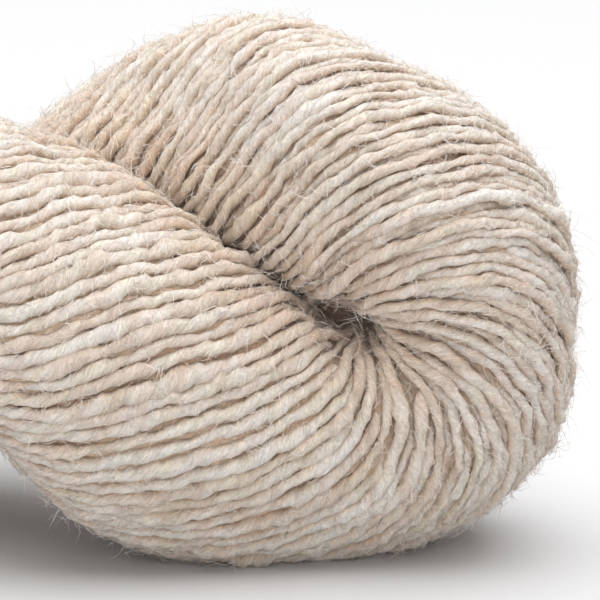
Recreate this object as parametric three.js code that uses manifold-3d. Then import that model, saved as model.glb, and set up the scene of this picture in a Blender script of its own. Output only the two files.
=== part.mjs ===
// Hank of shetland wool yarn, 50 g, as one solid of its wound form.
//
// A big loop of two-ply yarn is twisted until it kinks, folded in half and left to wind on itself. So the
// hank is one thick strand that runs along the hank, turns back at the fold and winds round its own first
// half. Here the strand is first laid flat, as a hairpin whose two legs touch along a middle line. The whole
// flat hairpin is then twisted about that line, which makes the rope and the whirl at its fold.
//
// Millimetres, +Z up. The hank lies along X with its fold at +X. A ring of the loop and the loop's other end,
// which is pushed through the ring, close it at -X.

import * as THREE from 'three';
import { mergeVertices } from 'three/addons/utils/BufferGeometryUtils.js';
import Module from 'manifold-3d';

// Driving dimensions

const LEG = 188; // each leg of the strand, from the whirl to where it ends under the ring
const FOLD_ARC = 44; // length of the strand's middle round the fold
const HINGE = 5; // how gently a leg runs into the fold
const LEG_STEP = 3.6; // between two rings of points along a leg
const FOLD_STEP = 2.9; // between two rings of points round the fold
const SIDES = 36; // points round the strand: a crest and a groove by turns
const RIDGE = 0.7; // a crest's height over the strand's mean surface, and a groove's depth
const BITE = 0.8; // how far each leg reaches past the middle line into the other
const EYE = 2; // radius of the eye left in the middle of the fold
const EYE_RUN = 9; // over which the legs open into the eye
const EYE_FILL = new THREE.Vector3(9, 4.5, 12); // half sizes of what fills the eye: along, out and side

const OUTER_POWER = 1.9; // roundness of the strand's outer half: 2 is an ellipse, more is squarer
const INNER_POWER = 4.5; // and of its flatter half, which lies against the other leg
const MIDDLE = 0.49; // where the two halves meet, as a share of the strand's reach
const OUTLINE_POINTS = 96; // of a section, before its points are spaced evenly

// The strand's section, a row for each place along it. `at` runs from the start of the fold, so the first leg
// has negative numbers. `reach` is from the middle line out, `front` and `back` are to either side, and
// `turned` is how far the yarns have turned round the strand, in degrees.
const STRAND = [
  { at: -188, reach: 15, front: 13, back: 13, turned: -1145 },
  { at: -168, reach: 23, front: 18, back: 18, turned: -1030 },
  { at: -148, reach: 25.5, front: 19, back: 19.5, turned: -915 },
  { at: -64, reach: 26.5, front: 18, back: 19, turned: -425 },
  { at: -32, reach: 32.3, front: 19.5, back: 22.5, turned: -233 },
  { at: -8, reach: 34.3, front: 19, back: 21.5, turned: -131 },
  { at: 11, reach: 31.5, front: 19, back: 21.5, turned: -58 },
  { at: 22, reach: 27.5, front: 18, back: 21.5, turned: 0 },
  { at: 33, reach: 29.5, front: 19.5, back: 20, turned: 64 },
  { at: 52, reach: 34.5, front: 19.5, back: 18.5, turned: 178 },
  { at: 76, reach: 31, front: 18, back: 20, turned: 324 },
  { at: 108, reach: 26.5, front: 19.5, back: 21.5, turned: 515 },
  { at: 192, reach: 25.5, front: 19, back: 20, turned: 985 },
  { at: 212, reach: 23, front: 18, back: 18, turned: 1100 },
  { at: 232, reach: 15, front: 13, back: 13, turned: 1215 },
];

// How the flat hairpin is twisted, a row for each place along its middle line. `angle` is how far it is
// turned, in degrees, `shift` how far the middle line lies toward the first leg, and `lean` how far a section
// leans to its back, for each millimetre out.
const PLY = [
  { x: -230, angle: -585, shift: 0, lean: 0.19 },
  { x: -60, angle: 99, shift: 0, lean: 0.19 },
  { x: -40, angle: 169, shift: 0, lean: 0.19 },
  { x: -20, angle: 226, shift: 0.9, lean: 0.16 },
  { x: 0, angle: 265, shift: 3.2, lean: 0.12 },
  { x: 20, angle: 270, shift: 3.2, lean: 0.12 },
  { x: 40, angle: 257, shift: 3.2, lean: 0.12 },
];

// The loop's other end, pushed through the ring: its yarns run out on top, round the end and back below.
const TAIL_ROOT = -176; // where it starts, inside the rope
const TAIL_TURN = -206; // where it starts to round off
const TAIL_END = -220;
const TAIL_WIDE = 16; // half its width
const TAIL_HIGH = 12.5; // half its height
const TAIL_YARNS = 16; // crests and grooves across it
const TAIL_POINTS = 9; // round its end
const TAIL_FULL = 0.97; // share of its width that is built, short of a sharp edge

// The ring of the loop round the tail's neck. It is widest where the strand runs into it.
const RING_X = -190;
const RING_RADIUS = 15; // of its middle line
const RING_THICK = 8.5; // half its thickness, outward
const RING_WIDE = 11; // half its mean width, along the hank
const RING_SWELL = 0.25; // how much wider and narrower it gets
const RING_SWELL_AT = 200; // degrees round it where it is widest
const RING_LEAN = 20; // degrees its plane is turned about Z
const RING_STEPS = 36;
const RING_SIDES = 18;
const RING_TURNS = 3; // of its yarns round it

// How high the hank's axis lies over the table. The rope sags to the table behind the thicker fold.
const AXIS = [
  { x: -230, height: 25.5 },
  { x: -150, height: 25.5 },
  { x: -100, height: 27.2 },
  { x: -45, height: 33 },
  { x: 0, height: 34.2 },
  { x: 40, height: 34.5 },
];
const TABLE_SIZE = 600;

// A smooth curve through one column of a table, whose rows are in the order of `key`
function column(table, key, name, at) {
  const last = table.length - 1;
  const value = (i) => table[i][name];
  const place = (i) => table[i][key];
  const slope = (i) => {
    const a = Math.max(i - 1, 0);
    const b = Math.min(i + 1, last);
    return (value(b) - value(a)) / (place(b) - place(a));
  };
  let i = 0;
  while (i < last - 1 && at > place(i + 1)) i += 1;
  const gap = place(i + 1) - place(i);
  const t = THREE.MathUtils.clamp((at - place(i)) / gap, 0, 1);
  const t2 = t * t;
  const t3 = t2 * t;
  return (2 * t3 - 3 * t2 + 1) * value(i) + (t3 - 2 * t2 + t) * gap * slope(i)
    + (3 * t2 - 2 * t3) * value(i + 1) + (t3 - t2) * gap * slope(i + 1);
}

// A point of the flat hairpin, twisted with it: `x` along the middle line, `flat` from it and `side` from the
// hairpin's plane
function plied(x, flat, side) {
  const angle = THREE.MathUtils.degToRad(column(PLY, 'x', 'angle', x));
  const across = flat + column(PLY, 'x', 'shift', x);
  const deep = side + column(PLY, 'x', 'lean', x) * flat;
  return new THREE.Vector3(
    x,
    across * Math.cos(angle) - deep * Math.sin(angle),
    across * Math.sin(angle) + deep * Math.cos(angle),
  );
}

// A point of the strand: `out` from the middle line at one place on it. The sections stand side by side along
// a leg and fan out round the fold, and they go from the one to the other over a few times HINGE.
function onStrand(at, out, side) {
  const half = FOLD_ARC / 2;
  const past = Math.abs(at - half);
  const back = HINGE * Math.log1p(Math.exp((past - half) / HINGE));
  const least = HINGE * Math.log1p(Math.exp(-half / HINGE));
  const turn = Math.sign(half - at) * (Math.PI / 2) * ((past - back + least) / (half + least));
  return plied(out * Math.cos(turn) - back, out * Math.sin(turn), side);
}

// The outline of a strand's section, from its outermost point and toward its back
function outline(reach, front, back, inner) {
  const middle = inner + (reach - inner) * MIDDLE;
  const points = [];
  for (let k = 0; k <= OUTLINE_POINTS; k += 1) {
    const c = Math.cos((2 * Math.PI * k) / OUTLINE_POINTS);
    const s = Math.sin((2 * Math.PI * k) / OUTLINE_POINTS);
    const power = c > 0 ? OUTER_POWER : INNER_POWER;
    const round = (Math.abs(c) ** power + Math.abs(s) ** power) ** (-1 / power);
    const out = middle + round * c * (c > 0 ? reach - middle : middle - inner);
    points.push(new THREE.Vector2(out, round * s * (s > 0 ? back : front)));
  }
  return { middle, path: new THREE.Path(points) };
}

// One ring of points round the strand: every other one is on a ridge of yarns, which turn round the strand
function strandRing(at) {
  const size = (name) => column(STRAND, 'at', name, at);
  const onLeg = Math.min(Math.max(-at, at - FOLD_ARC, 0) / EYE_RUN, 1);
  const inner = THREE.MathUtils.lerp(EYE, -BITE, onLeg);
  const { middle, path } = outline(size('reach'), size('front'), size('back'), inner);
  const points = [];
  for (let j = 0; j < SIDES; j += 1) {
    const share = THREE.MathUtils.euclideanModulo(j / SIDES - size('turned') / 360, 1);
    const { x: out, y: side } = path.getPoint(share);
    const height = (j % 2 ? -RIDGE : RIDGE) * THREE.MathUtils.smoothstep(out, inner, middle);
    const grow = 1 + height / Math.hypot(out - middle, side);
    points.push(onStrand(at, middle + (out - middle) * grow, side * grow));
  }
  return points;
}

// A closed tube through rings of points, with a flat cap on each end unless the last ring meets the first
function tube(rings, looped = false) {
  const sides = rings[0].length;
  const points = rings.flat();
  const faces = [];
  const links = looped ? rings.length : rings.length - 1;
  for (let i = 0; i < links; i += 1) {
    const next = (i + 1) % rings.length;
    for (let j = 0; j < sides; j += 1) {
      const k = (j + 1) % sides;
      const [a, b, c, d] = [i * sides + j, i * sides + k, next * sides + k, next * sides + j];
      faces.push(a, b, c, a, c, d);
    }
  }
  if (!looped) {
    for (const [i, flip] of [[0, true], [rings.length - 1, false]]) {
      const centre = new THREE.Vector3();
      rings[i].forEach((point) => centre.addScaledVector(point, 1 / sides));
      points.push(centre);
      for (let j = 0; j < sides; j += 1) {
        const [a, b] = [i * sides + j, i * sides + ((j + 1) % sides)];
        faces.push(points.length - 1, flip ? b : a, flip ? a : b);
      }
    }
  }
  const geometry = new THREE.BufferGeometry().setFromPoints(points);
  geometry.setIndex(faces);
  return geometry;
}

// Places along the strand, near enough to each other for its shape
function stops(from, to) {
  const places = [from];
  while (places.at(-1) < to) {
    const at = places.at(-1);
    const step = at >= 0 && at < FOLD_ARC ? FOLD_STEP : LEG_STEP;
    const marks = [0, FOLD_ARC, to].filter((mark) => mark > at);
    places.push(Math.min(at + step, ...marks));
  }
  return places;
}

function strandSolid(from, to) {
  return tube(stops(from, to).map(strandRing));
}

function tailSolid() {
  const rings = [];
  for (let j = 0; j <= TAIL_YARNS; j += 1) {
    const across = Math.sin(Math.PI * (0.5 - j / TAIL_YARNS)) * TAIL_FULL;
    const size = Math.sqrt(1 - across ** 2);
    const high = TAIL_HIGH * size + (j % 2 ? RIDGE : -RIDGE) * size;
    const points = [new THREE.Vector3(TAIL_ROOT, across * TAIL_WIDE, high)];
    for (let k = 0; k < TAIL_POINTS; k += 1) {
      const round = (Math.PI * k) / (TAIL_POINTS - 1);
      const x = TAIL_TURN + (TAIL_END - TAIL_TURN) * (high / TAIL_HIGH) * Math.sin(round);
      points.push(new THREE.Vector3(x, across * TAIL_WIDE, high * Math.cos(round)));
    }
    points.push(new THREE.Vector3(TAIL_ROOT, across * TAIL_WIDE, -high));
    rings.push(points);
  }
  return tube(rings);
}

// The yarns that fill the eye behind the whirl
function eyeSolid() {
  const ball = new THREE.SphereGeometry(1, 20, 14).scale(...EYE_FILL);
  const place = ball.attributes.position;
  for (let i = 0; i < place.count; i += 1) {
    place.setXYZ(i, ...plied(place.getX(i), place.getY(i), place.getZ(i)));
  }
  return ball;
}

function ringSolid() {
  const rings = [];
  for (let i = 0; i < RING_STEPS; i += 1) {
    const round = (2 * Math.PI * i) / RING_STEPS;
    const points = [];
    for (let j = 0; j < RING_SIDES; j += 1) {
      const about = (2 * Math.PI * j) / RING_SIDES - RING_TURNS * round;
      const height = j % 2 ? -RIDGE : RIDGE;
      const swell = 1 + RING_SWELL * Math.cos(round - THREE.MathUtils.degToRad(RING_SWELL_AT));
      const out = RING_RADIUS + (RING_THICK + height) * Math.cos(about);
      const along = -(RING_WIDE * swell + height) * Math.sin(about);
      points.push(new THREE.Vector3(along, out * Math.cos(round), out * Math.sin(round)));
    }
    rings.push(points);
  }
  const geometry = tube(rings, true);
  geometry.rotateZ(THREE.MathUtils.degToRad(RING_LEAN));
  geometry.translate(RING_X, 0, 0);
  return geometry;
}

const wasm = await Module();
wasm.setup();

function joinable(geometry) {
  geometry.deleteAttribute('normal');
  geometry.deleteAttribute('uv');
  const merged = mergeVertices(geometry);
  return new wasm.Manifold(new wasm.Mesh({
    numProp: 3,
    vertProperties: merged.attributes.position.array,
    triVerts: Uint32Array.from(merged.index.array),
  }));
}

// Bends a piece's axis down to the table
function laid(geometry) {
  const place = geometry.attributes.position;
  for (let i = 0; i < place.count; i += 1) {
    place.setZ(i, place.getZ(i) + column(AXIS, 'x', 'height', place.getX(i)));
  }
  return geometry;
}

// The whole hank: its pieces grow into each other, and it is flat where it touches the table
function woundHank() {
  const pieces = [
    strandSolid(-LEG, FOLD_ARC / 2),
    strandSolid(FOLD_ARC / 2, FOLD_ARC + LEG),
    eyeSolid(),
    tailSolid(),
    ringSolid(),
  ];
  const joined = pieces.map((piece) => joinable(laid(piece))).reduce((a, b) => a.add(b));
  const below = new THREE.BoxGeometry(TABLE_SIZE, TABLE_SIZE, TABLE_SIZE).translate(0, 0, -TABLE_SIZE / 2);
  const { vertProperties, triVerts } = joined.subtract(joinable(below)).getMesh();
  const geometry = new THREE.BufferGeometry();
  geometry.setAttribute('position', new THREE.BufferAttribute(vertProperties, 3));
  geometry.setIndex(new THREE.BufferAttribute(triVerts, 1));
  return geometry;
}

const geometry = woundHank();
geometry.computeVertexNormals();
geometry.computeBoundingBox();
const middle = geometry.boundingBox.getCenter(new THREE.Vector3());
geometry.translate(-middle.x, -middle.y, 0);

const wool = new THREE.MeshStandardMaterial({ color: 0xcdbfae, roughness: 0.95, metalness: 0 });
const hank = new THREE.Mesh(geometry, wool);
hank.name = 'hank';

const yarn = new THREE.Group();
yarn.add(hank);

export default yarn;
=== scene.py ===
# %% [markdown]
# A hank of shetland wool yarn.
# A hank is one long loop of yarn, twisted until it kinks, folded in half and left to wind on itself. The
# CAD solid holds that wound form, with a few ridges in place of its turns. Here the wool itself is laid on
# the same form: sixty turns of two-ply yarn, each one twisted, uneven and hairy. First comes the frame.

# %% Load the frame
import math

import bpy
import numpy as np
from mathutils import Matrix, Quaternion, Vector


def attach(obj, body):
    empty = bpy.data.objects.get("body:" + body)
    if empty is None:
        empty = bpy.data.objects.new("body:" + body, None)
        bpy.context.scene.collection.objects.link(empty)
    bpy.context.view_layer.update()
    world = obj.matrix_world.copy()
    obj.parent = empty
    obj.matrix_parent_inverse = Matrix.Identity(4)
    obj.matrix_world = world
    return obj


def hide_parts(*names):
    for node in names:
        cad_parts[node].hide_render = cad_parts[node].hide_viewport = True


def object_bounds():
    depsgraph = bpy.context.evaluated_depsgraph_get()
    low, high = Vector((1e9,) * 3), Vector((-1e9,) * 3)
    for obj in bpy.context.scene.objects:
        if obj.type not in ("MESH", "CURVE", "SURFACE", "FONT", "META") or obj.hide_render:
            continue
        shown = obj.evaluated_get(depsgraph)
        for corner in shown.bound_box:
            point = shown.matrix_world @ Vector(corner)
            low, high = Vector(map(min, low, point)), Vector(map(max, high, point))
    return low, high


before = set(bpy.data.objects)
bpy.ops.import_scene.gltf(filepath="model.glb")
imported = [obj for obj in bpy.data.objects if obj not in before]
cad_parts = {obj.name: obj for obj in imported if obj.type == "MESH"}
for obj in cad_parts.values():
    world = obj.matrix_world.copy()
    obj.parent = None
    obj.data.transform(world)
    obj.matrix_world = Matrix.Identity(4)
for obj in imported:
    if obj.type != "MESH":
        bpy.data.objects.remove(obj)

CAD_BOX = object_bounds()
CAD_LOW, CAD_HIGH = (np.array(corner) * 1000 for corner in CAD_BOX)
print("solid, mm:", np.round(CAD_HIGH - CAD_LOW, 1))

# %% [markdown]
# The wound form could be read from the solid's triangles, but a strand needs to know which way it runs. So
# the form is worked out again, from the sizes that the solid was made with. The strand is a flat hairpin
# with two legs and a fold between them, and the hairpin is then twisted about its middle line. All sizes
# are in millimetres until a mesh is made. STRAND goes along the strand: how far it reaches from the middle
# line, to the front and to the back, and how far it has turned about itself. PLY goes along the hank: how
# far the hairpin is twisted there, how far it is shifted and how much it leans.

# %% Sizes of the wound form
MM = 0.001
LEG = 188  # each leg of the strand, from the whirl to where it ends under the ring
FOLD_ARC = 44  # length of the strand's middle round the fold
HINGE = 5  # how gently a leg runs into the fold
BITE = 0.8  # how far each leg reaches past the middle line
EYE = 2  # radius of the eye in the middle of the fold
EYE_RUN = 9  # length of leg over which the eye closes
OUTER_POWER = 1.9  # roundness of the strand's outer half: 2 is an ellipse
INNER_POWER = 4.5  # and of its inner half, which is nearly square
MIDDLE = 0.49  # where the two halves meet, as a share of the strand's reach


def table(names, *rows):
    """A table with named columns, one row for each place."""
    return dict(zip(names.split(), np.array(rows, float).T))


STRAND = table(
    "at reach front back turned",
    (-188, 15, 13, 13, -1145),
    (-168, 23, 18, 18, -1030),
    (-148, 25.5, 19, 19.5, -915),
    (-64, 26.5, 18, 19, -425),
    (-32, 32.3, 19.5, 22.5, -233),
    (-8, 34.3, 19, 21.5, -131),
    (11, 31.5, 19, 21.5, -58),
    (22, 27.5, 18, 21.5, 0),
    (33, 29.5, 19.5, 20, 64),
    (52, 34.5, 19.5, 18.5, 178),
    (76, 31, 18, 20, 324),
    (108, 26.5, 19.5, 21.5, 515),
    (192, 25.5, 19, 20, 985),
    (212, 23, 18, 18, 1100),
    (232, 15, 13, 13, 1215),
)
PLY = table(
    "x angle shift lean",
    (-230, -585, 0, 0.19),
    (-60, 99, 0, 0.19),
    (-40, 169, 0, 0.19),
    (-20, 226, 0.9, 0.16),
    (0, 265, 3.2, 0.12),
    (20, 270, 3.2, 0.12),
    (40, 257, 3.2, 0.12),
)
AXIS = table(
    "x height",
    (-230, 25.5),
    (-150, 25.5),
    (-100, 27.2),
    (-45, 33),
    (0, 34.2),
    (40, 34.5),
)
print("rows along the strand:", len(STRAND["at"]))

# %% [markdown]
# Each size runs smoothly from row to row. A curve that keeps to the rows and doesn't swing past them is made
# of cubic pieces, with the slope at a row taken from its two neighbours. The flat hairpin is bent first, and
# then each of its points is turned about the hank's axis by the angle that the hank has twisted there.

# %% Smooth curves through a table
def curve(rows, key, name, at):
    """The value of one column at any place along another."""
    place, value = rows[key], rows[name]
    slope = np.gradient(value)
    slope[1:-1] = (value[2:] - value[:-2]) / (place[2:] - place[:-2])
    slope[0] = (value[1] - value[0]) / (place[1] - place[0])
    slope[-1] = (value[-1] - value[-2]) / (place[-1] - place[-2])
    i = np.clip(np.searchsorted(place, at, side="right") - 1, 0, len(place) - 2)
    gap = place[i + 1] - place[i]
    t = np.clip((at - place[i]) / gap, 0, 1)
    return (
        (2 * t**3 - 3 * t**2 + 1) * value[i]
        + (t**3 - 2 * t**2 + t) * gap * slope[i]
        + (3 * t**2 - 2 * t**3) * value[i + 1]
        + (t**3 - t**2) * gap * slope[i + 1]
    )


def plied(x, flat, side):
    """A point of the flat hairpin, twisted with it, on an axis that sags to the table."""
    angle = np.radians(curve(PLY, "x", "angle", x))
    across = flat + curve(PLY, "x", "shift", x)
    deep = side + curve(PLY, "x", "lean", x) * flat
    y = across * np.cos(angle) - deep * np.sin(angle)
    z = across * np.sin(angle) + deep * np.cos(angle)
    return np.stack([x, y, z + curve(AXIS, "x", "height", x)], -1)


def on_strand(at, out, side):
    """A point of the strand, `out` from the middle line and `side` from the hairpin's plane."""
    half = FOLD_ARC / 2
    past = np.abs(at - half)
    back = HINGE * np.log1p(np.exp((past - half) / HINGE))
    least = HINGE * np.log1p(np.exp(-half / HINGE))
    turn = np.sign(half - at) * np.pi / 2 * (past - back + least) / (half + least)
    return plied(out * np.cos(turn) - back, out * np.sin(turn), side)


print("whirl height, mm:", round(float(curve(AXIS, "x", "height", 0.0)), 1))

# %% [markdown]
# A section of the strand is round outside and flat where it lies on the other leg. A turn of yarn keeps its
# share of the section's outline while the whole outline turns on along the strand, so a place on the
# strand's skin is given by how far along it is and by that share.

# %% The strand's skin
OUTLINE_POINTS = 240


def outlines(at):
    """The outline of each section, from its outermost point and toward its back."""
    reach, front, back = (curve(STRAND, "at", name, at)[:, None] for name in ("reach", "front", "back"))
    on_leg = np.clip(np.maximum(-at, at - FOLD_ARC) / EYE_RUN, 0, 1)[:, None]
    inner = EYE + (-BITE - EYE) * on_leg
    middle = inner + (reach - inner) * MIDDLE
    angle = np.linspace(0, 2 * np.pi, OUTLINE_POINTS + 1)[None]
    c, s = np.cos(angle), np.sin(angle)
    power = np.where(c > 0, OUTER_POWER, INNER_POWER)
    size = (np.abs(c) ** power + np.abs(s) ** power) ** (-1 / power)
    out = middle + size * c * np.where(c > 0, reach - middle, middle - inner)
    return out, size * s * np.where(s > 0, back, front)


def skin(at, share):
    """Points of the skin for rows of shares, one row for each place, and how far out each one is."""
    out, side = outlines(at)
    steps = np.hypot(np.diff(out, axis=1), np.diff(side, axis=1))
    length = np.concatenate([np.zeros((len(at), 1)), np.cumsum(steps, axis=1)], axis=1)
    turned = curve(STRAND, "at", "turned", at) / 360
    place = ((share - turned[:, None]) % 1) * length[:, -1:]
    outs, sides = np.empty_like(place), np.empty_like(place)
    for i in range(len(at)):
        outs[i] = np.interp(place[i], length[i], out[i])
        sides[i] = np.interp(place[i], length[i], side[i])
    return on_strand(at[:, None], outs, sides), outs


def stops(leg_step, fold_step):
    """Places along the whole strand, with a step of their own round the fold."""
    leg = np.arange(-LEG, 0, leg_step)
    fold = np.linspace(0, FOLD_ARC, round(FOLD_ARC / fold_step) + 1)
    return np.concatenate([leg, fold, FOLD_ARC - leg[::-1]])


print("strand, mm:", 2 * LEG + FOLD_ARC)

# %% [markdown]
# The solid's origin is in the middle of its box, and the form's is in the whirl, where the strand comes
# round on itself. So the form is measured once, roughly, and every mesh is shifted by the difference. The
# solid's own ridges stand a little over the form.

# %% Where the form lies in the frame
RIDGE = 0.7
FORM_STEP, FORM_POINTS = 2, 180  # of the rough form, along the strand and round it

form_at = stops(FORM_STEP, FORM_STEP)
form, _ = skin(form_at, np.tile(np.linspace(0, 1, FORM_POINTS), (len(form_at), 1)))
SHIFT = np.array(
    [
        CAD_HIGH[0] - RIDGE - form[..., 0].max(),
        (CAD_HIGH[1] + CAD_LOW[1] - form[..., 1].max() - form[..., 1].min()) / 2,
        0,
    ]
)
print("the whirl lies at, mm:", np.round(SHIFT, 1))

# %% [markdown]
# A yarn wanders, but slowly: it is too stiff to jump from side to side. So its wander is a sum of a few sine
# waves with random lengths and phases, and not a random number for each point. Neighbours also stray
# together, as a group. The random numbers start from a fixed seed, so the hank is the same each time.

# %% Slow noise
NOISE_SEED = 1847
GROUPS = (5, 13)  # how many groups there are round the strand
GROUP_WAVES = (50, 160)  # mm

rng = np.random.default_rng(NOISE_SEED)


def slow_noise(rows, count, short, long, waves=4):
    """Smooth noise along each of `count` lines, about 1 high, with waves from `short` to `long`."""
    lengths = rng.uniform(short, long, (waves, count))
    phases = rng.uniform(0, 2 * np.pi, (waves, count))
    return sum(
        np.sin(2 * np.pi * rows[:, None] / lengths[i] + phases[i]) for i in range(waves)
    ) / math.sqrt(waves / 2)


def bundle_noise(rows, count, waves=6):
    """Noise that neighbouring lines share, so that they move in groups."""
    line = np.arange(count)[None] / count
    total = np.zeros((len(rows), count))
    for _ in range(waves):
        groups = rng.integers(*GROUPS)
        length = rng.uniform(*GROUP_WAVES)
        phase = rng.uniform(0, 2 * np.pi)
        total += np.sin(2 * np.pi * (line * groups + rows[:, None] / length) + phase)
    return total / math.sqrt(waves / 2)


def smoothed(values, width):
    """Values kept smooth along their rows."""
    reach = int(3 * width)
    weights = np.exp(-0.5 * (np.arange(-reach, reach + 1) / width) ** 2)
    weights /= weights.sum()
    padded = np.pad(values, ((reach, reach), (0, 0)), mode="edge")
    return sum(w * padded[i : i + len(values)] for i, w in enumerate(weights))


print("waves of a group, mm:", GROUP_WAVES)

# %% [markdown]
# To lay a yarn on the skin, three things are needed at each place: the way out of the skin, how wide the
# whole round of the skin is, and how far out the place is from the middle line. The first two come from two
# small steps, one along the strand and one round it.

# %% Directions on the skin
SHARE_STEP = 1e-3


def unit(vectors):
    """Vectors at a length of 1."""
    return vectors / (np.linalg.norm(vectors, axis=-1, keepdims=True) + 1e-12)


def skin_frame(at, share):
    """Points of the skin, the way out, how wide the whole round is, and how far out each point is."""
    points, out = skin(at, share)
    run = unit(np.gradient(points, axis=0))
    over = (skin(at, share + SHARE_STEP)[0] - skin(at, share - SHARE_STEP)[0]) / (2 * SHARE_STEP)
    over -= (over * run).sum(-1, keepdims=True) * run
    return points, unit(np.cross(over, run)), np.linalg.norm(over, axis=-1), out


print("step round the skin, as a share:", SHARE_STEP)

# %% [markdown]
# No two turns of a real hank lie quite side by side. They wander, ride up on each other and leave gaps.
# Random offsets alone would push yarns through one another, so each turn first gets its wander, and then
# neighbours that are too close push each other apart, a little at a time, while every yarn is kept smooth
# by its own tension. A physics simulation could do that too, but this is quick and always ends the same.

# %% Room for each yarn
YARN_WIDE = 1.6  # room that a turn of yarn takes, across
NEIGHBOURS = (1, 2, 3)
SPREAD_ROUNDS = 40
PUSH = 0.5  # share of what is short that a round makes up
SETTLE = 0.985  # what is left of a yarn's rise after a round
RISE_MOST, SINK_MOST = 0.75, 0.8
TENSION = 4  # rows over which a yarn is kept smooth


def spread(aside, rise, dive, pitch):
    """Pushes yarns apart until each has its room, sideways and up."""
    for _ in range(SPREAD_ROUNDS):
        push_aside, push_rise = np.zeros_like(aside), np.zeros_like(rise)
        level = rise - dive
        room = np.zeros_like(pitch)
        for step in NEIGHBOURS:
            room = room + np.roll(pitch, -(step - 1), axis=1)
            gap = room + np.roll(aside, -step, axis=1) - aside
            climb = np.roll(level, -step, axis=1) - level
            apart = np.hypot(gap, climb) + 1e-6
            short = np.clip(YARN_WIDE - apart, 0, None) / 2 / apart * PUSH
            push_aside += np.roll(short * gap, step, axis=1) - short * gap
            push_rise += np.roll(short * climb, step, axis=1) - short * climb
        aside = smoothed(aside + push_aside, TENSION)
        rise = smoothed(np.clip(rise + push_rise, -SINK_MOST, RISE_MOST) * SETTLE, TENSION)
    return aside, rise - dive


print("rounds of pushing:", SPREAD_ROUNDS)

# %% [markdown]
# Toward the whirl the turns crowd together until there is no room for all of them on the surface. There
# some dive under the others, taken evenly from all round the strand. For that each yarn has a number
# between 0 and 1, in such an order that the yarns up to any number are spread evenly.

# %% Where each turn of yarn lies
YARNS = 60
LEG_STEP, FOLD_STEP = 0.72, 0.45  # between two places where a yarn's middle is worked out
WANDER, WANDER_WAVES = 0.5, (35, 120)  # how far a yarn strays sideways by itself
BUNDLE = 0.5  # how far a group of yarns strays together
RISE, RISE_WAVES = 0.35, (25, 90)  # how far a yarn rises or sinks by itself
OUTER = 1.2  # the outer layer holds this many times the yarns that fit in it side by side
DIVE = 2.0  # how deep a yarn goes that has no room among the outer ones
DIVE_OVER = 0.22  # share of the room over which it goes down


def evenly(count):
    """An order for a round of yarns, 0 to 1, such that the first so many of them are spread evenly."""
    bits = math.ceil(math.log2(count))
    orders = [sum((i >> b & 1) << (bits - 1 - b) for b in range(bits)) for i in range(count)]
    return np.array(orders) / 2**bits


at = stops(LEG_STEP, FOLD_STEP)
shares = np.tile(np.arange(YARNS) / YARNS, (len(at), 1))
_, _, round_width, _ = skin_frame(at, shares)
pitch = round_width / YARNS
room = np.clip(pitch / YARN_WIDE, 0, 1)
aside = room**2 * (WANDER * slow_noise(at, YARNS, *WANDER_WAVES) + BUNDLE * bundle_noise(at, YARNS))
rise = RISE * slow_noise(at, YARNS, *RISE_WAVES)
late = np.clip((evenly(YARNS) - OUTER * pitch / YARN_WIDE) / DIVE_OVER + 0.5, 0, 1)
dive = DIVE * smoothed(late**2 * (3 - 2 * late), TENSION)
aside, rise = spread(aside, rise, dive, pitch)
print("turns of yarn:", YARNS, "pitch, mm:", np.round(np.percentile(pitch, [5, 50, 95]), 2))
print("rise, mm:", np.round(np.percentile(rise, [1, 50, 99]), 2))

# %% [markdown]
# Two plies make the yarn, so its section is a blunt oval that turns as it goes. Eight points are enough for
# one section, because the light sees only the outer half of it. The plies of this yarn turn once in about
# six millimetres, and woollen spinning leaves thick and thin stretches. No yarn lies quite still either: it
# sways a little from one turn of its plies to the next. The surface is never smooth, so each point also
# stands out or in by itself.

# %% A yarn's section
PLY_TURN = 6.2  # length of yarn in which its plies turn once
SECTION_STEP = 1.05  # between two sections of a yarn
SECTION_POINTS = 8
HALF_WIDE, HALF_THIN = 0.92, 0.74  # of the section, across both plies and through the waist
UNEVEN, UNEVEN_WAVES = 0.14, (5, 40)  # from thick to thin along a yarn, as a share of its radius
OWN_UNEVEN = 0.6 * UNEVEN  # and from one yarn to the next
ROUGH = 0.12  # how far a point of the surface strays, as a share of the radius
SWAY, SWAY_WAVES = 0.13, (5, 16)  # how far a yarn strays within a few millimetres
LIFT = 0.1  # of the lowest points over the table
STRAIGHT_APART = 10  # between two yarns that are pulled straight


def yarn_radius(angle):
    """The section's size in a direction, from the line through both plies."""
    mean, swing = (HALF_WIDE + HALF_THIN) / 2, (HALF_WIDE - HALF_THIN) / 2
    return mean + swing * np.cos(2 * angle)


print("thick and thin of a yarn, mm:", 2 * HALF_WIDE, 2 * HALF_THIN)

# %% [markdown]
# A yarn is spun along its middle line. For each point it is also kept where the point would be if the yarn
# were pulled straight, which the finish's texture follows, and how deep it lies, which sets how much shade is
# painted on it. The directions at each section are kept too, and the loose fibres will grow by them.

# %% How a yarn is spun
SPUN = ("points", "straight", "deep", "middle", "up", "run")
FEWEST_ROWS = 4  # a shorter run isn't spun


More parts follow.
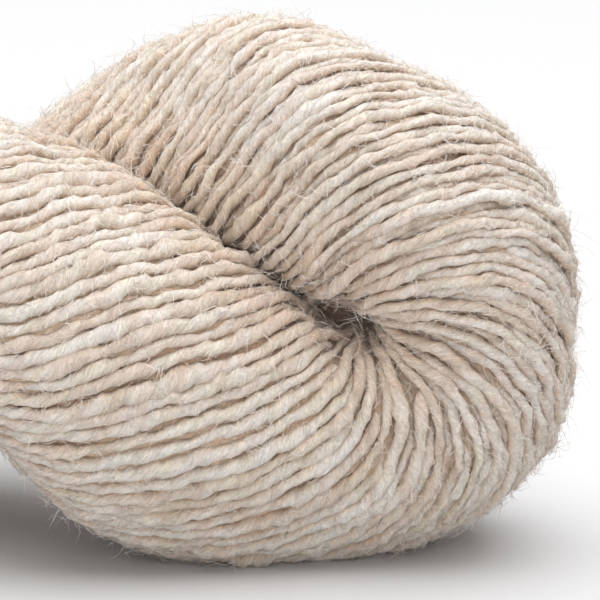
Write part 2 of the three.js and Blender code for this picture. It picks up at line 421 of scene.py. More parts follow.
def spun(path, outward, width, painted_shade_near_crease, own_width, apart, step):
    """One yarn along a path, as the arrays that SPUN names."""
    steps = np.linalg.norm(np.diff(path, axis=0), axis=-1)
    length = np.concatenate([[0], np.cumsum(steps)])
    place = np.linspace(0, length[-1], max(round(length[-1] / step), 2) + 1)
    middle, up = (
        np.stack([np.interp(place, length, values[:, i]) for i in range(3)], -1)
        for values in (path, outward)
    )
    sway = SWAY * slow_noise(place, 2, *SWAY_WAVES)
    middle = middle + sway[:, :1] * up + sway[:, 1:] * np.cross(np.gradient(middle, axis=0), up)
    run = unit(np.gradient(middle, axis=0))
    up = unit(up - (up * run).sum(-1, keepdims=True) * run)
    angle = 2 * np.pi * np.arange(SECTION_POINTS) / SECTION_POINTS
    own_angle = angle - (2 * np.pi * place / PLY_TURN)[:, None] + rng.uniform(0, 2 * np.pi)
    thick = own_width * np.interp(place, length, width)[:, None]
    thick = thick * (1 + UNEVEN * slow_noise(place, 1, *UNEVEN_WAVES))
    size = yarn_radius(own_angle) * thick * (1 + rng.normal(0, ROUGH, own_angle.shape))
    flat, high = (size * np.cos(angle))[..., None], (size * np.sin(angle))[..., None]
    points = middle[:, None] + flat * np.cross(run, up)[:, None] + high * up[:, None]
    points[..., 2] = np.maximum(points[..., 2], LIFT)
    straight = [place[:, None] + 0 * size, size * np.cos(own_angle) + apart, size * np.sin(own_angle)]
    # Painted shade: none on the yarn's top, full on its underside, more near the crease and the whirl.
    deep = 0.5 - 0.5 * np.sin(angle) + np.interp(place, length, painted_shade_near_crease)[:, None]
    return points, np.stack(straight, -1), deep, middle, up, run


def unbroken(kept, closed):
    """The runs of rows that are kept. On a closed line one may go on from the last row to the first."""
    rows = np.arange(len(kept))
    if closed and not kept.all():
        rows = np.roll(rows, -np.flatnonzero(~kept)[0])
    rows = rows[kept[rows]]
    steps = np.diff(rows) % len(kept) if closed else np.diff(rows)
    runs = np.split(rows, np.flatnonzero(steps != 1) + 1)
    return [run for run in runs if len(run) >= FEWEST_ROWS]


def spin(centres, outward, kept, width=1.0, painted_shade_near_crease=0.0, step=SECTION_STEP, closed=False):
    """Yarns along the middle lines, one for each run of rows that is kept."""
    width, painted_shade_near_crease = np.broadcast_to(width, kept.shape), np.broadcast_to(painted_shade_near_crease, kept.shape)
    made = {name: [] for name in SPUN}
    for line in range(kept.shape[1]):
        own_width = rng.normal(1, OWN_UNEVEN)
        for rows in unbroken(kept[:, line], closed):
            here = (values[rows, line] for values in (centres, outward, width, painted_shade_near_crease))
            apart = STRAIGHT_APART * len(made["points"])
            for name, values in zip(SPUN, spun(*here, own_width, apart, step)):
                made[name].append(values)
    return made


print("kept for each yarn:", *SPUN)

# %% [markdown]
# Blender can make a mesh from lists of faces, but for half a million faces that is slow. It is quicker to
# fill the mesh's own arrays. A helper does that once for all pieces. It keeps two attributes of each point
# for the finish: its place on the straightened yarn, and how deep it lies, from 0 on top to 1 underneath,
# which is how much shade is painted there.

# %% Meshes from arrays
def volume(points, faces):
    """What the faces enclose: it is negative where they point in."""
    total = 0
    for group in faces:
        for j in range(1, group.shape[1] - 1):
            first, second, third = (points[group[:, k]] for k in (0, j, j + 1))
            total += (first * np.cross(second, third)).sum() / 6
    return total


def wool_piece(name, points, straight, faces, material, deep=1.0):
    """A piece of the hank from points in millimetres, and arrays of faces, one for each width."""
    if volume(points.reshape(-1, 3), faces) < 0:
        faces = [group[:, ::-1] for group in faces]
    corners = np.concatenate([group.ravel() for group in faces])
    used, renumbered = np.unique(corners, return_inverse=True)
    sizes = np.concatenate([np.full(len(group), group.shape[1]) for group in faces])
    mesh = bpy.data.meshes.new(name)
    mesh.vertices.add(len(used))
    mesh.loops.add(len(renumbered))
    mesh.polygons.add(len(sizes))
    places = points.reshape(-1, 3)[used] + SHIFT
    mesh.vertices.foreach_set("co", (places * MM).astype(np.float32).ravel())
    mesh.loops.foreach_set("vertex_index", renumbered.astype(np.int32).ravel())
    mesh.polygons.foreach_set("loop_start", (np.cumsum(sizes) - sizes).astype(np.int32))
    laid = mesh.attributes.new("straight", "FLOAT_VECTOR", "POINT")
    laid.data.foreach_set("vector", straight.reshape(-1, 3)[used].astype(np.float32).ravel())
    # How much shade is painted on each point; the full shade where no other is given.
    depth = mesh.attributes.new("deep", "FLOAT", "POINT")
    deep = np.broadcast_to(deep, points.shape[:-1]).ravel()
    depth.data.foreach_set("value", deep[used].astype(np.float32))
    mesh.polygons.foreach_set("use_smooth", np.ones(len(sizes), bool))
    mesh.update(calc_edges=True)
    mesh.validate()
    mesh.materials.append(material)
    piece = bpy.data.objects.new(name, mesh)
    bpy.context.scene.collection.objects.link(piece)
    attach(piece, "root")
    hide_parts("hank")
    print(name, "triangles:", int((sizes - 2).sum()))


print("longest side of the solid, mm:", round(float(max(CAD_HIGH - CAD_LOW)), 1))

# %% [markdown]
# Every yarn is a tube of four-sided faces with a face at each end, and so is the wool under the yarns. A
# ring has no ends: its last row joins its first. Many yarns go into one mesh, so that there are few pieces.

# %% Tubes
def tube_faces(rows, around, closed=False, start=0):
    """Sides and ends of a tube through rows of points."""
    this = start + np.arange(rows * around).reshape(rows, around)
    after = np.roll(this, -1, 0)
    ends = np.stack([this[0], this[-1][::-1]])
    if closed:
        ends = ends[:0]
    else:
        this, after = this[:-1], after[:-1]
    sides = np.stack([this, after, np.roll(after, -1, 1), np.roll(this, -1, 1)], -1)
    return [sides.reshape(-1, 4), ends]


def yarn_piece(name, made, material):
    """A piece of the hank from yarns that were spun."""
    counts = [len(points) for points in made["points"]]
    starts = np.cumsum([0] + counts[:-1]) * SECTION_POINTS
    tubes = [tube_faces(n, SECTION_POINTS, start=start) for n, start in zip(counts, starts)]
    faces = [np.concatenate(group) for group in zip(*tubes)]
    points, straight, deep = (np.concatenate(made[part]) for part in ("points", "straight", "deep"))
    wool_piece(name, points, straight, faces, material, deep)


print("faces round a yarn:", SECTION_POINTS)

# %% [markdown]
# A finish is a tree of nodes. Colours are picked as sRGB hex codes, but the nodes take linear numbers, so
# one function turns them. Another adds a node with its settings and links. A ramp turns a noise to colours.

# %% Colours and nodes
def linear(code):
    """A colour's sRGB hex code as linear numbers."""
    parts = [int(code[i : i + 2], 16) / 255 for i in (1, 3, 5)]
    return (*(p / 12.92 if p <= 0.04045 else ((p + 0.055) / 1.055) ** 2.4 for p in parts), 1)


def add(tree, kind, inputs=(), **settings):
    """Adds a node with its settings, and its inputs as numbers, colours or other nodes' outputs."""
    node = tree.nodes.new(kind)
    for name, value in settings.items():
        setattr(node, name, value)
    for name, value in dict(inputs).items():
        if isinstance(value, bpy.types.NodeSocket):
            tree.links.new(value, node.inputs[name])
        else:
            node.inputs[name].default_value = value
    return node


def ramp(tree, colours, value):
    """Colours at places along a value."""
    node = add(tree, "ShaderNodeValToRGB", {"Fac": value})
    places = node.color_ramp.elements
    places.remove(places[1])
    places[0].position, places[0].color = colours[0][0], linear(colours[0][1])
    for place, code in colours[1:]:
        places.new(place).color = linear(code)
    return node.outputs["Color"]


def new_finish(name):
    """An empty material and its tree."""
    material = bpy.data.materials.new(name)
    material.use_nodes = True
    material.node_tree.nodes.clear()
    return material, material.node_tree


print("mid grey, linear:", round(linear("#808080")[0], 3))

# %% [markdown]
# The yarn is woollen-spun shetland: two plies of short, crimped fibres that lie every way, in the sheep's
# own beige. Fleece of several shades is carded together, so the colour changes softly along a yarn and from
# one ply to the other. A colour ramp over slow noise makes the shades. Light that gets in between two yarns
# meets many fibres before it comes out, and each takes some blue from it. A surface can't do that, so shade
# is painted: what lies deeper, the underside of each yarn and the wool between and under the turns, is
# given a warmer, darker colour.

# %% Shades of the fleece, and painted shade
SHADE_LONG, SHADE_WIDE = 24.0, 6.0  # mm over which the shade changes, along the yarn and across it
SHADES = ((0.3, "#E4D1BE"), (0.42, "#EFE1D2"), (0.5, "#F8EEE2"), (0.6, "#FCF5ED"), (0.72, "#FEFBF7"))
TINTS = ((0.35, "#FBF3EF"), (0.5, "#FFFFFF"), (0.65, "#FAFAF2"))  # rosy and greenish fleece
# Painted shade: warmer and darker as the deep attribute goes from 0 to 1.
PAINTED_SHADE_BY_DEPTH = ((0.05, "#FFFFFF"), (0.3, "#F5E9DC"), (0.55, "#E3CFBA"), (0.8, "#CDB39A"), (1.0, "#AC9079"))


def stretched(tree, laid, long, wide):
    """Places on the straightened yarn, divided by a length along it and one across it."""
    scale = (1 / long, 1 / wide, 1 / wide)
    return add(tree, "ShaderNodeVectorMath", {0: laid, 1: scale}, operation="MULTIPLY").outputs[0]


def multiplied(tree, one, other):
    """Two colours times each other."""
    inputs = {0: 1.0, 6: one, 7: other}  # the factor and the two colours
    return add(tree, "ShaderNodeMix", inputs, data_type="RGBA", blend_type="MULTIPLY").outputs[2]


def fleece_colour(tree, laid):
    """The wool's colour, from where it is on the yarn, with painted shade by how deep it lies."""
    slow = stretched(tree, laid, SHADE_LONG, SHADE_WIDE)
    shade = add(tree, "ShaderNodeTexNoise", {"Vector": slow, "Scale": 1.0, "Detail": 3.0, "Roughness": 0.6})
    tint = add(tree, "ShaderNodeTexNoise", {"Vector": slow, "Scale": 1.7, "Detail": 1.0})
    # How much shade is painted here.
    deep = add(tree, "ShaderNodeAttribute", attribute_name="deep").outputs["Fac"]
    fleece = ramp(tree, SHADES, shade.outputs["Fac"])
    tinted = multiplied(tree, fleece, ramp(tree, TINTS, tint.outputs["Fac"]))
    return multiplied(tree, tinted, ramp(tree, PAINTED_SHADE_BY_DEPTH, deep))


print("shades:", len(SHADES), "tints:", len(TINTS), "depths:", len(PAINTED_SHADE_BY_DEPTH))

# %% [markdown]
# The carding leaves the fibres lying every way, so the yarn has no highlight and a hazy, matt surface. Fine
# noise, stretched along the yarn, makes the fibres that show, and a rounder noise makes tufts of down.
# Both are relief, and colour too: the fibres' own tone, with painted shade in the hollows and painted light
# on what stands out. The valley between the plies gets painted shade. Sheen stands for the down that is too
# fine to draw.

# %% The yarn's finish
KERATIN_IOR = 1.55
FIBRE_LONG = 2.2  # mm of a fibre that shows on the surface, and how far apart fibres are drawn:
FIBRE_WIDE = 0.22  # some seven times a real one's 0.03 mm, so that they show at this distance
TUFT = 0.5  # mm between the tufts of down that stand out of the yarn
RELIEF_RANGE = (0.85, 1.15)  # of both noises together
# Painted light and shade of the relief, with the fibres' own tone: how dark the hollows and how light the
# tops.
RELIEF_TONE_AND_PAINTED_SHADE = (0.8, 1.12)  # how dark and how light that makes the wool
RELIEF_HIGH = 0.00035  # m
# Painted shade in the valley between the plies: how wide it is in mm, and how dark.
VALLEY, VALLEY_PAINTED_SHADE = 0.4, 0.92  # mm from the valley between the plies to full light, and its own light


def fibre_relief(tree, laid):
    """How high the fibres and tufts stand."""
    fine = stretched(tree, laid, FIBRE_LONG, FIBRE_WIDE)
    fibre = add(tree, "ShaderNodeTexNoise", {
        "Vector": fine, "Scale": 1.0, "Detail": 3.0, "Roughness": 0.7, "Distortion": 0.6,
    })
    tuft = add(tree, "ShaderNodeTexNoise", {
        "Vector": laid, "Scale": 1 / TUFT, "Detail": 4.0, "Roughness": 0.7, "Distortion": 1.0,
    })
    both = {0: fibre.outputs["Fac"], 1: tuft.outputs["Fac"]}
    return add(tree, "ShaderNodeMath", both, operation="ADD").outputs[0]


def painted_ply_valley_shade(tree, laid):
    """Painted shade along the valley between the yarn's plies, fading to none on their crowns."""
    parts = add(tree, "ShaderNodeSeparateXYZ", {"Vector": laid})
    half = STRAIGHT_APART / 2
    beside = add(tree, "ShaderNodeMath", {0: parts.outputs["Y"], 1: half, 2: -half}, operation="WRAP")
    off = add(tree, "ShaderNodeMath", {0: beside.outputs[0]}, operation="ABSOLUTE")
    return add(tree, "ShaderNodeMapRange", {
        "Value": off.outputs[0], "From Min": 0.0, "From Max": VALLEY, "To Min": VALLEY_PAINTED_SHADE, "To Max": 1.0,
    }, interpolation_type="SMOOTHSTEP").outputs["Result"]


def shetland_yarn():
    """Two-ply woollen-spun yarn, in the fleece's own shades, with painted light and shade."""
    material, tree = new_finish("woollen_spun_shetland_wool")
    laid = add(tree, "ShaderNodeAttribute", attribute_name="straight").outputs["Vector"]
    relief = fibre_relief(tree, laid)
    # The relief's colour: painted shade in its hollows, painted light on its tops.
    light = add(tree, "ShaderNodeMapRange", {
        "Value": relief, "From Min": RELIEF_RANGE[0], "From Max": RELIEF_RANGE[1],
        "To Min": RELIEF_TONE_AND_PAINTED_SHADE[0], "To Max": RELIEF_TONE_AND_PAINTED_SHADE[1],
    })
    # Painted light and shade of the relief, times the painted shade of the ply valley.
    lights = {0: light.outputs["Result"], 1: painted_ply_valley_shade(tree, laid)}
    both = add(tree, "ShaderNodeMath", lights, operation="MULTIPLY")
    fleece = {0: fleece_colour(tree, laid), "Scale": both.outputs[0]}
    colour = add(tree, "ShaderNodeVectorMath", fleece, operation="SCALE")
    bump = add(tree, "ShaderNodeBump", {"Height": relief, "Strength": 1.0, "Distance": RELIEF_HIGH})
    wool = add(tree, "ShaderNodeBsdfPrincipled", {
        "Base Color": colour.outputs[0], "Normal": bump.outputs[0], "Roughness": 0.92, "IOR": KERATIN_IOR,
        "Specular IOR Level": 0.2, "Sheen Weight": 0.5, "Sheen Roughness": 0.6,
    })
    add(tree, "ShaderNodeOutputMaterial", {"Surface": wool.outputs[0]})
    return material


YARN_WOOL = shetland_yarn()
print("finish:", YARN_WOOL.name)

# %% [markdown]
# A single fibre that stands off the yarn is clear keratin with light all round it, so it looks paler than
# the yarn, and a little smoother. Each fibre has a shade of its own.

# %% The loose fibres' finish
FIBRE_SHADES = ((0.35, "#D3C2B0"), (0.5, "#F3EAE0"), (0.65, "#FDFBF8"))


def stray_fibre():
    """Single wool fibres."""
    material, tree = new_finish("loose_wool_fibre")
    laid = add(tree, "ShaderNodeAttribute", attribute_name="straight").outputs["Vector"]
    shade = add(tree, "ShaderNodeTexNoise", {"Vector": laid, "Scale": 0.4})
    wool = add(tree, "ShaderNodeBsdfPrincipled", {
        "Base Color": ramp(tree, FIBRE_SHADES, shade.outputs["Fac"]), "Roughness": 0.6, "IOR": KERATIN_IOR,
        "Specular IOR Level": 0.3,
    })
    add(tree, "ShaderNodeOutputMaterial", {"Surface": wool.outputs[0]})
    return material


FIBRE_WOOL = stray_fibre()
print("finish:", FIBRE_WOOL.name)

# %% [markdown]
# Now the turns of yarn are laid on the strand. A yarn's middle lies half its width under the form's skin.
# Where the strand lies flat against its other leg nobody can see it, so the yarns are left out there. Each
# piece holds some of the yarns from one end of the strand to the other, so no joint between pieces shows.

# %% Turns of yarn round the strand
UNDER_SKIN = 0.8
BURIED = 0.0  # nearer to the middle line than this a yarn lies against the other leg
SUNK = -1.75  # a yarn that has dived as deep as this doesn't show
YARN_PIECES = 4
FULL_PITCH = 1.5  # yarns this far apart have their usual thickness
WIDTHS = (0.94, 1.24)  # and these are the least and the most, where they lie closer or further apart
# Painted shade near the crease and the whirl: how much it adds to the deep attribute, and over how many mm
# from the middle line it fades out.
CREASE_SHADE_PAINTED, PAINTED_SHADE_REACH = 0.34, 15  # how much deeper the crease and the whirl look, and how far that reaches

places, outward, round_width, out = skin_frame(at, shares + aside / round_width)
centres = places + outward * (rise - UNDER_SKIN)[..., None]
centres[..., 2] = np.maximum(centres[..., 2], HALF_THIN + LIFT)
kept = (out > BURIED) & (rise > SUNK)
width = smoothed(np.clip(pitch / FULL_PITCH, *WIDTHS), TENSION)
# Painted shade, strongest at the strand's middle line, where the legs meet and round the whirl.
painted_shade_near_crease = CREASE_SHADE_PAINTED * np.clip(1 - out / PAINTED_SHADE_REACH, 0, 1)
all_made = []
for piece in range(YARN_PIECES):
    chosen = slice(piece * YARNS // YARN_PIECES, (piece + 1) * YARNS // YARN_PIECES)
    made = spin(*(values[:, chosen] for values in (centres, outward, kept, width, painted_shade_near_crease)))
    yarn_piece(f"yarn_turns_{piece + 1}", made, YARN_WOOL)
    all_made.append(made)
print("runs of yarn:", sum(len(made["points"]) for made in all_made))

# %% [markdown]
# Under the turns that show lie many more. They show only in the gaps, so one ridged skin is enough for them,
# laid a little deeper. In the crease, where no outer turns cover it, it comes up to the form's own skin. It
# is painted in shade: partly under the outer turns, fully in the crease.

# %% Yarns under the outer turns
CORE_DEPTH = 0.95
CORE_RIDGE = 0.25
CORE_UP, CORE_DOWN = -2, 1  # mm from the middle line: where the core comes up, and where it is down
# How much shade is painted on the core, under the outer turns and in the crease.
CORE_PAINTED_SHADE, CREASE_CORE_PAINTED_SHADE = 0.55, 1.0  # its shade under the outer turns, and in the crease
CORE_STEP, CORE_FOLD_STEP = 3.4, 2.0
CORE_POINTS = 84  # round the strand: a crest and a groove by turns

core_at = stops(CORE_STEP, CORE_FOLD_STEP)
core_shares = np.tile(np.arange(CORE_POINTS) / CORE_POINTS, (len(core_at), 1))
core_places, core_out, _, core_reach = skin_frame(core_at, core_shares)
ridge = np.where(np.arange(CORE_POINTS) % 2, -CORE_RIDGE, CORE_RIDGE)
covered = np.clip((core_reach - CORE_UP) / (CORE_DOWN - CORE_UP), 0, 1)
core_points = core_places - core_out * ((CORE_DEPTH + ridge[None]) * covered)[..., None]
core_points[..., 2] = np.maximum(core_points[..., 2], 2 * LIFT)
core_straight = np.zeros_like(core_points)
core_straight[..., 0] = core_at[:, None]
core_straight[..., 1] = np.arange(CORE_POINTS)
# Painted shade of the core, growing toward the crease.
core_shade_painted = CORE_PAINTED_SHADE + (CREASE_CORE_PAINTED_SHADE - CORE_PAINTED_SHADE) * np.clip(1 - core_reach / PAINTED_SHADE_REACH, 0, 1)
core_faces = tube_faces(len(core_at), CORE_POINTS)
wool_piece("yarn_core", core_points, core_straight, core_faces, YARN_WOOL, core_shade_painted)

# %% [markdown]
# At its other end the loop was pushed through itself. Its last turns run out on top, round the end and back
# below. The photo doesn't reach this end, so it is finished in the plain way that such hanks are. The same
# function gives the lines of the yarns that show and, further in, those of the wool under them.

# %% The loop's end
TAIL_ROOT, TAIL_TURN, TAIL_END = -176, -206, -220  # where its yarns come out, begin to bend, and end
TAIL_WIDE, TAIL_HIGH = 16, 12.5  # half sizes
TAIL_YARNS = 26


def laid_down(x, y, z):
    """Points round the hank's axis, which sags to the table."""
    return np.stack([x, y, z + curve(AXIS, "x", "height", x)], -1)


def tail_lines(step, lines, depth):
    """Lines over the tail, from above its root round its end to below its root."""
    share = (np.arange(lines) + 0.5) / lines
    across, size = np.cos(np.pi * share), np.sin(np.pi * share)
    rows = round((TAIL_ROOT - TAIL_TURN) / step)
    end_rows = round(math.pi * TAIL_HIGH / step)
    bend = np.linspace(0.5, -0.5, end_rows)
    angle = np.concatenate([np.full(rows, 0.5), bend, np.full(rows, -0.5)]) * np.pi
    back = np.concatenate([np.linspace(1, 0, rows), np.zeros(end_rows), np.linspace(0, 1, rows)])
    x = TAIL_TURN + (TAIL_ROOT - TAIL_TURN) * back[:, None]
    x = x + (TAIL_END - TAIL_TURN + depth) * size * np.cos(angle)[:, None]
    y = (TAIL_WIDE - depth) * across + 0 * x
    z = (TAIL_HIGH - depth) * size * np.sin(angle)[:, None]
    return laid_down(x, y, z)


print("loop's end, mm:", 2 * TAIL_WIDE, "by", 2 * TAIL_HIGH)

# %% [markdown]
# A ring of the loop lies round the neck of its end. Its yarns turn about the ring's own middle line as they
# go round, and it is wider at one side, because it was pulled to there. It leans, as the strand does.

# %% The ring round the loop's neck
RING_X, RING_RADIUS = -190, 15  # of its middle line
RING_THICK, RING_WIDE = 8.5, 11  # half sizes, outward and along the hank
RING_SWELL, RING_SWELL_AT = 0.25, math.radians(200)  # how much wider it is at one side, and which
RING_LEAN = math.radians(20)
RING_TURNS = 3  # of each yarn about the ring's middle line
RING_YARNS = 36


def ring_lines(step, lines, depth):
    """Lines round the ring, each turning about its middle line, and how far out each point is."""
    rows = round(2 * np.pi * (RING_RADIUS + RING_THICK) / step)
    turn = np.linspace(0, 2 * np.pi, rows, endpoint=False)[:, None]
    about = 2 * np.pi * np.arange(lines) / lines - RING_TURNS * turn
    swell = 1 + RING_SWELL * np.cos(turn - RING_SWELL_AT)
    out = RING_RADIUS + (RING_THICK - depth) * np.cos(about)
    along, back = (depth - RING_WIDE * swell) * np.sin(about), out * np.cos(turn)
    x = RING_X + along * math.cos(RING_LEAN) - back * math.sin(RING_LEAN)
    y = along * math.sin(RING_LEAN) + back * math.cos(RING_LEAN)
    return laid_down(x, y, out * np.sin(turn)), np.cos(about)


print("ring, mm across:", 2 * (RING_RADIUS + RING_THICK))

# %% [markdown]
# The yarns of both ends are spun as the others are, a little more coarsely because nobody looks at them from
# near. The ring's yarns are left out where they lie on the neck. They have no wander where the ring's first
# row meets its last, so that no step shows there.

# %% Yarns of the ends
END_STEP = 1.4
END_WANDER, END_WAVES = 0.25, (15, 50)
RING_HIDDEN = -0.35  # further in than this share of its thickness, the ring lies on the neck


def end_yarns(name, line, outer, kept, swing):
    """Yarns along lines, whose outward side is toward the same lines on a wider form."""
    wander = END_WANDER * slow_noise(np.arange(len(line)) * END_STEP, line.shape[1], *END_WAVES) * swing
    outward = unit(outer - line)
    made = spin(line + outward * wander[..., None], outward, kept, step=END_STEP, closed=not kept.all())
    yarn_piece(name, made, YARN_WOOL)
    all_made.append(made)


tail, tail_skin = (tail_lines(END_STEP, TAIL_YARNS, depth) for depth in (UNDER_SKIN, 0))
end_yarns("loop_end_yarns", tail, tail_skin, np.ones(tail.shape[:2], bool), 1)
ring, ring_out = ring_lines(END_STEP, RING_YARNS, UNDER_SKIN)
ring_skin, _ = ring_lines(END_STEP, RING_YARNS, 0)
swing = np.sin(np.linspace(0, np.pi, len(ring)))[:, None]
end_yarns("ring_yarns", ring, ring_skin, ring_out > RING_HIDDEN, swing)

# %% [markdown]
# The ends need wool under their outer turns too, and so does the eye in the middle of the fold, where the
# innermost turns crowd together. The eye's wool is a squashed ball, turned with the hank. All this wool has
# the full painted shade.

# %% Yarns under the ends and in the eye
END_DEPTH = 1.5
END_CORE_STEP = 2.5
EYE_FILL = (9, 4.5, 12)  # half sizes of what fills the solid's eye: along, out and side
EYE_DEEP = 0.6  # the wool in it reaches this share of that from the hairpin's plane
EYE_ROWS, EYE_POINTS = 12, 24
EYE_POLE = 0.06  # share of the way from pole to pole where the ball's ends are cut flat


def plain_piece(name, points, closed=False):
    """A smooth body of wool under the outer turns, from rows of points round it, with the full painted shade.
    """
    straight = np.zeros_like(points)
    straight[..., 0] = np.arange(len(points))[:, None]
    straight[..., 1] = np.arange(points.shape[1])
    points[..., 2] = np.maximum(points[..., 2], 2 * LIFT)
    wool_piece(name, points, straight, tube_faces(len(points), points.shape[1], closed), YARN_WOOL)


plain_piece("ring_core", ring_lines(END_CORE_STEP, RING_YARNS, END_DEPTH)[0], closed=True)
under_tail = tail_lines(END_CORE_STEP, TAIL_YARNS // 2, END_DEPTH)
plain_piece("loop_end_core", under_tail.transpose(1, 0, 2))

latitude = np.linspace(EYE_POLE, 1 - EYE_POLE, EYE_ROWS)[:, None] * np.pi
longitude = np.arange(EYE_POINTS)[None] / EYE_POINTS * 2 * np.pi
ball = [np.sin(latitude) * np.cos(longitude), np.sin(latitude) * np.sin(longitude),
        np.cos(latitude) + 0 * longitude]
eye = np.stack(ball, -1) * EYE_FILL * (1, 1, EYE_DEEP)
plain_piece("eye_core", plied(eye[..., 0], eye[..., 1], eye[..., 2]))

# %% [markdown]
# Wool is hairy: the ends of its fibres stand off the yarn. Particle hair would look right in a render, but it
# is not part of a mesh. Each loose fibre is a thin curved spindle instead, with three sides. It sets out
# along the yarn or across it, curls, arches over, and has the crimp of wool. Real fibres are 0.03 mm thick,
# and these are three times that, so that they show.

# %% The shape of a loose fibre
FIBRE_SIDES = 3
BRISTLE_STEPS = 2  # a fibre of two steps has a flat root and one tip
ARCH = (0.45, 1.0)  # how much of an arch a fibre makes: at 1 its tip comes down to the yarn again
CURL_ASIDE = 0.6  # spread, as a share of the fibre's length
CURL_OUT = (-0.08, 0.1)  # mean and spread
CRIMP = 0.15  # height of a fibre's own waves, as a share of its length
CRIMP_WAVES = (0.6, 1.3)
ROOT_SIZE, TAPER = 1.1, 0.7  # size at the root, and how much of it is lost toward the tip
TINY = 0.01


def fibres(roots, outward, run, kind):
    """Spindles that rise from their roots and arch back toward the yarn or stand free."""
    one, each = (len(roots), 1), (len(roots), 1, 1)
    length, lift = rng.uniform(*kind["length"], each), rng.uniform(*kind["lift"], each)
    side = np.cross(run, outward)
    heading = unit(run * rng.choice((-1, 1), one) + side * rng.normal(0, kind["stray"], one))
    curl = side * rng.normal(0, CURL_ASIDE, one) + outward * rng.normal(*CURL_OUT, one)
    t = np.linspace(0, 1, kind["steps"])[None, :, None]
    arch = rng.uniform(*ARCH, each)
    path = roots[:, None] + length * (t * heading[:, None] + t**2 * curl[:, None])
    path = path + lift * np.sin(np.pi * arch * t) * outward[:, None]
    wave = np.sin(2 * np.pi * (rng.uniform(*CRIMP_WAVES, each) * t + rng.uniform(0, 1, each)))
    path = path + CRIMP * length * (wave - wave[:, :1]) * unit(np.cross(heading, outward))[:, None]
    points = spindles(path, outward, kind["radius"] * (ROOT_SIZE - TAPER * t))
    points[..., 2] = np.maximum(points[..., 2], LIFT)
    return points


def spindles(path, outward, size):
    """Points round each path, with a single point at each tip. A bristle has a flat root instead."""
    ahead = unit(np.gradient(path, axis=1))
    first = unit(np.cross(ahead, outward[:, None] + TINY))
    second = np.cross(ahead, first)
    corner = 2 * np.pi * np.arange(FIBRE_SIDES) / FIBRE_SIDES
    ring = first[:, :, None] * np.cos(corner)[:, None] + second[:, :, None] * np.sin(corner)[:, None]
    rings = path[:, :, None] + ring * size[..., None]
    if path.shape[1] == BRISTLE_STEPS:
        return np.concatenate([rings[:, 0], path[:, 1:]], axis=1)
    return np.concatenate([path[:, :1], rings[:, 1:-1].reshape(len(path), -1, 3), path[:, -1:]], axis=1)


def fibre_faces(count, steps):
    """The faces of so many spindles: three at each tip, and sides between them."""
    if steps == BRISTLE_STEPS:
        bristle = np.array([(0, 2, 1), (0, 1, 3), (1, 2, 3), (2, 0, 3)])
        return [(bristle + 4 * np.arange(count)[:, None, None]).reshape(-1, 3)]
    inner = steps - 2
    ring = 1 + np.arange(inner * FIBRE_SIDES).reshape(inner, FIBRE_SIDES)
    after = np.roll(ring, -1, axis=1)
    last = 1 + inner * FIBRE_SIDES
    tips = [(0, b, a) for a, b in zip(ring[0], after[0])]
    tips += [(last, a, b) for a, b in zip(ring[-1], after[-1])]
    sides = np.stack([ring[:-1], after[:-1], after[1:], ring[1:]], -1).reshape(-1, 4)
    start = np.arange(count)[:, None, None] * (last + 1)
    return [(np.array(tips) + start).reshape(-1, 3), (sides + start).reshape(-1, 4)]


print("sides of a fibre:", FIBRE_SIDES)

# %% [markdown]
# Fibres grow from the upper side of the yarns that show. The two shortest kinds are by far the most: bristles
# and down make the yarn's haze, and the few long ones arch over the gaps. The fold has been handled and
# brushed the most, so fibres are sown more thinly on the rope behind it.

# %% Loose fibres
COLUMNS = "count steps length lift radius stray".split()  # lift: how high it arches; stray: sideways
ROWS = {
    "bristles": (26000, BRISTLE_STEPS, (0.5, 1.2), (0.05, 0.3), 0.045, 0.9),
    "down": (33000, 3, (1.2, 2.8), (0.15, 0.5), 0.045, 1.1),
    "short_fibres": (8500, 5, (1.5, 3.4), (0.15, 0.5), 0.045, 0.9),
    "long_fibres": (600, 8, (3.0, 6.0), (0.3, 0.8), 0.04, 1.2),
}
KINDS = {name: dict(zip(COLUMNS, row)) for name, row in ROWS.items()}
BRUSHED = -62  # mm from the whirl: behind this the fibres are sown more thinly
THINNER = 0.25
UPPER = 0.45  # how far a root faces outward, as a cosine: lower down a fibre would stand up like a bristle


def roots_on(made):
    """Where fibres can grow: each upper point of the yarns, its own way out, and the yarn's way along."""
    points, middle, up, run = (np.concatenate(made[name]) for name in ("points", "middle", "up", "run"))
    out = unit(points - middle[:, None])
    facing = (out * up[:, None]).sum(-1) > UPPER
    return points[facing], out[facing], np.broadcast_to(run[:, None], out.shape)[facing]


roots, outs, runs = (np.concatenate(parts) for parts in zip(*(roots_on(made) for made in all_made)))
likely = np.where(roots[:, 0] > BRUSHED, 1, THINNER)
likely = likely / likely.sum()
for name, kind in KINDS.items():
    chosen = rng.choice(len(roots), kind["count"], p=likely)
    points = fibres(roots[chosen], outs[chosen], runs[chosen], kind)
    shades = np.repeat(rng.uniform(0, 100, (len(points), 1, 3)), points.shape[1], axis=1)
    wool_piece(name, points, shades, fibre_faces(len(points), kind["steps"]), FIBRE_WOOL, 0.0)
print("fibres:", sum(kind["count"] for kind in KINDS.values()))

# %% [markdown]
# The hank lies on a plain pale surface that runs on past the picture's edges. It is a matt board, painted
# with a roller, so it has a fine grain and no gloss. Its own colour is a light grey: with the light that
# wool needs, it comes out nearly white, as it does in the photo.

# %% Floor
FLOOR_HALF = 12.0  # m
FLOOR_HEX = "#CFCFD0"
ROLLER_GRAIN = 900.0  # to the metre, so a grain is about a millimetre


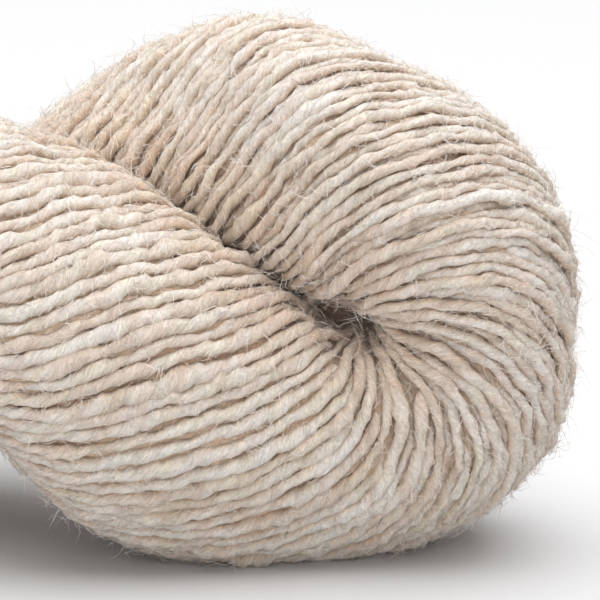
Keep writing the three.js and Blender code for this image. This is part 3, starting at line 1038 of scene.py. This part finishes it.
def board():
    """A board with matt paint."""
    material, tree = new_finish("matt_white_board")
    place = add(tree, "ShaderNodeTexCoord").outputs["Object"]
    grain = add(tree, "ShaderNodeTexNoise", {"Vector": place, "Scale": ROLLER_GRAIN, "Detail": 2.0})
    bump = add(tree, "ShaderNodeBump", {"Height": grain.outputs["Fac"], "Strength": 0.05, "Distance": 0.0001})
    paint = add(tree, "ShaderNodeBsdfPrincipled", {
        "Base Color": linear(FLOOR_HEX), "Roughness": 0.9, "Specular IOR Level": 0.2,
        "Normal": bump.outputs[0],
    })
    add(tree, "ShaderNodeOutputMaterial", {"Surface": paint.outputs[0]})
    return material


corners = [(x * FLOOR_HALF, y * FLOOR_HALF, 0) for x, y in ((-1, -1), (1, -1), (1, 1), (-1, 1))]
floor_mesh = bpy.data.meshes.new("floor")
floor_mesh.from_pydata(corners, [], [(0, 1, 2, 3)])
floor_mesh.materials.append(board())
floor = bpy.data.objects.new("floor", floor_mesh)
bpy.context.scene.collection.objects.link(floor)
print("floor, m:", 2 * FLOOR_HALF)

# %% [markdown]
# Soft daylight comes from a wide source straight above. It makes the upper sides bright and leaves a shadow
# close round the hank's foot. A pale surrounding fills the shadows, and a low reflector in front gives the
# hank's side the light that a studio's white table would send back.

# %% Light
WORLD_HEX, WORLD_STRENGTH = "#FFFDFC", 0.45
WHIRL_HEIGHT = 34  # mm
WINDOW = {"place": (0.0, 0.0, 1.0), "size": 1.5, "power": 21.5, "code": "#FDFEFF"}
REFLECTOR = {"place": (0.0, -0.9, 0.2), "size": 0.8, "power": 3.4, "code": "#FFFAF5"}


def soft_light(name, target, place, size, power, code):
    """A square area light that faces its target. Its place from there is in metres, its power in watts."""
    stand = target + Vector(place)
    data = bpy.data.lights.new(name, "AREA")
    data.shape, data.size, data.energy, data.color = "SQUARE", size, power, linear(code)[:3]
    light = bpy.data.objects.new(name, data)
    light.location = stand
    light.rotation_mode = "QUATERNION"
    light.rotation_quaternion = (target - stand).to_track_quat("-Z", "Y")
    light.visible_camera = False
    bpy.context.scene.collection.objects.link(light)


whirl = Vector(SHIFT + (0, 0, WHIRL_HEIGHT)) * MM
soft_light("window", whirl, **WINDOW)
soft_light("reflector", whirl, **REFLECTOR)
world = bpy.data.worlds.new("pale_room")
world.use_nodes = True
bpy.context.scene.world = world
background = world.node_tree.nodes["Background"]
background.inputs["Color"].default_value = linear(WORLD_HEX)
background.inputs["Strength"].default_value = WORLD_STRENGTH
bpy.context.scene.view_settings.view_transform = "Standard"

# %% [markdown]
# The photo is taken from a little above, with a long lens, close enough that the fold fills the frame and
# the rest of the hank runs out of it to the left.

# %% Camera
CAMERA_PLACE = (-11.6, -862.8, 256.3)  # from the whirl's foot on the table, in millimetres
CAMERA_AIM = (-7.7, -14.6, 35.5)
CAMERA_ROLL = 3.0
CAMERA_LENS, CAMERA_SENSOR = 420.7, 36  # mm
CAMERA_CLIP = (0.05, 50)  # m

place, aim = (Vector(SHIFT + point) * MM for point in (CAMERA_PLACE, CAMERA_AIM))
camera_data = bpy.data.cameras.new("camera")
camera_data.lens, camera_data.sensor_width = CAMERA_LENS, CAMERA_SENSOR
camera_data.clip_start, camera_data.clip_end = CAMERA_CLIP
camera = bpy.data.objects.new("camera", camera_data)
camera.location = place
camera.rotation_mode = "QUATERNION"
roll = Quaternion((0, 0, 1), math.radians(CAMERA_ROLL))
camera.rotation_quaternion = (aim - place).to_track_quat("-Z", "Y") @ roll
bpy.context.scene.collection.objects.link(camera)
bpy.context.scene.camera = camera
print("camera to aim, m:", round((aim - place).length, 3))
